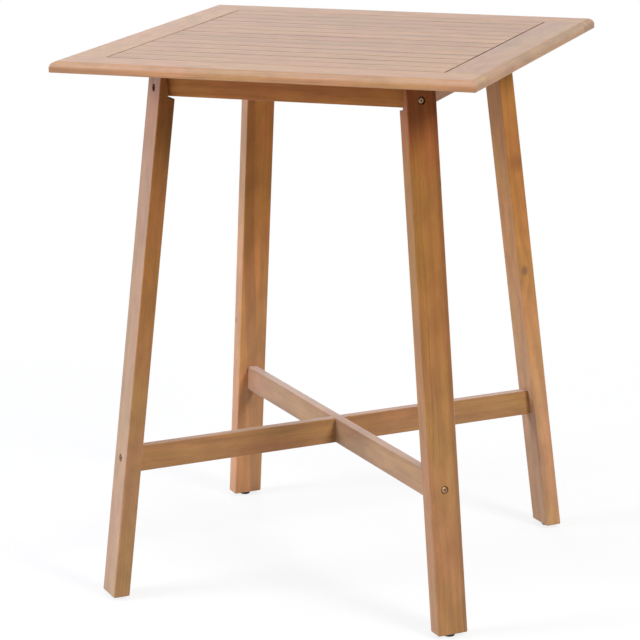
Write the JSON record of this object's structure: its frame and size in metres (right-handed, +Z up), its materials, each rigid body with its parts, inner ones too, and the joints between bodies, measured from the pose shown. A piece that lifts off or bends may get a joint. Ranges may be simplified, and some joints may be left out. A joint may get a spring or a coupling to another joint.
{
  "type": "bar table",
  "caption": "Square slatted wooden bar table on splayed, diagonally set legs tied by a crossed stretcher, standing on small screw-in levelling feet.",
  "frame": {"origin": "on the floor, under the middle of the top, with the feet screwed right in", "axes": "+Z up, +X along the slats to the right, +Y from front to back"},
  "size_m": [0.816, 0.816, 1.05],
  "materials": {
    "top_wood": "matt oiled hardwood, pale tan with fine straight grain",
    "frame_wood": "matt oiled hardwood, honey brown with streaky grain",
    "hardware_steel": "dull zinc-plated steel",
    "pad_plastic": "black moulded plastic"
  },
  "bodies": {
    "table": {"back_apron": "frame_wood", "batten_screws": "hardware_steel", "centre_batten": "frame_wood", "corner_block_back_left": "frame_wood", "corner_block_back_right": "frame_wood", "corner_block_front_left": "frame_wood", "corner_block_front_right": "frame_wood", "corner_block_screws": "hardware_steel", "foot_sleeves": "hardware_steel", "front_apron": "frame_wood", "left_apron": "frame_wood", "left_batten": "frame_wood", "leg_back_left": "frame_wood", "leg_back_right": "frame_wood", "leg_bolt_inserts": "hardware_steel", "leg_bolts": "hardware_steel", "leg_front_left": "frame_wood", "leg_front_right": "frame_wood", "right_apron": "frame_wood", "right_batten": "frame_wood", "slat_screws": "hardware_steel", "stretcher_bolt_inserts": "hardware_steel", "stretcher_bolts": "hardware_steel", "stretcher_lower_lap": "frame_wood", "stretcher_upper_lap": "frame_wood", "top_back_rail": "top_wood", "top_front_rail": "top_wood", "top_left_stile": "top_wood", "top_right_stile": "top_wood", "top_slat_01": "top_wood", "top_slat_02": "top_wood", "top_slat_03": "top_wood", "top_slat_04": "top_wood", "top_slat_05": "top_wood", "top_slat_06": "top_wood", "top_slat_07": "top_wood", "top_slat_08": "top_wood", "top_slat_09": "top_wood", "top_slat_10": "top_wood", "top_slat_11": "top_wood", "top_slat_12": "top_wood", "top_slat_13": "top_wood"},
    "pad_front_right": {"foot_pad_front_right": "pad_plastic"},
    "stem_front_right": {"foot_stem_front_right": "hardware_steel"},
    "pad_back_right": {"foot_pad_back_right": "pad_plastic"},
    "stem_back_right": {"foot_stem_back_right": "hardware_steel"},
    "pad_back_left": {"foot_pad_back_left": "pad_plastic"},
    "stem_back_left": {"foot_stem_back_left": "hardware_steel"},
    "pad_front_left": {"foot_pad_front_left": "pad_plastic"},
    "stem_front_left": {"foot_stem_front_left": "hardware_steel"}
  },
  "joints": [
    {"name": "foot_slide_front_right", "type": "slide", "parent": "table", "child": "pad_front_right", "axis": [0, 0, -1], "range_m": [0, 0.01]},
    {"name": "foot_turn_front_right", "type": "hinge", "parent": "pad_front_right", "child": "stem_front_right", "pos_m": [0.33767, -0.33767, 0], "axis": [0, 0, -1], "range_deg": [0, 2880]},
    {"name": "foot_slide_back_right", "type": "slide", "parent": "table", "child": "pad_back_right", "axis": [0, 0, -1], "range_m": [0, 0.01]},
    {"name": "foot_turn_back_right", "type": "hinge", "parent": "pad_back_right", "child": "stem_back_right", "pos_m": [0.33767, 0.33767, 0], "axis": [0, 0, -1], "range_deg": [0, 2880]},
    {"name": "foot_slide_back_left", "type": "slide", "parent": "table", "child": "pad_back_left", "axis": [0, 0, -1], "range_m": [0, 0.01]},
    {"name": "foot_turn_back_left", "type": "hinge", "parent": "pad_back_left", "child": "stem_back_left", "pos_m": [-0.33767, 0.33767, 0], "axis": [0, 0, -1], "range_deg": [0, 2880]},
    {"name": "foot_slide_front_left", "type": "slide", "parent": "table", "child": "pad_front_left", "axis": [0, 0, -1], "range_m": [0, 0.01]},
    {"name": "foot_turn_front_left", "type": "hinge", "parent": "pad_front_left", "child": "stem_front_left", "pos_m": [-0.33767, -0.33767, 0], "axis": [0, 0, -1], "range_deg": [0, 2880]}
  ],
  "couplings": [
    {"joint": "foot_slide_front_right", "follows": "foot_turn_front_right", "m_per_rad": 0.00019894},
    {"joint": "foot_slide_back_right", "follows": "foot_turn_back_right", "m_per_rad": 0.00019894},
    {"joint": "foot_slide_back_left", "follows": "foot_turn_back_left", "m_per_rad": 0.00019894},
    {"joint": "foot_slide_front_left", "follows": "foot_turn_front_left", "m_per_rad": 0.00019894}
  ]
}
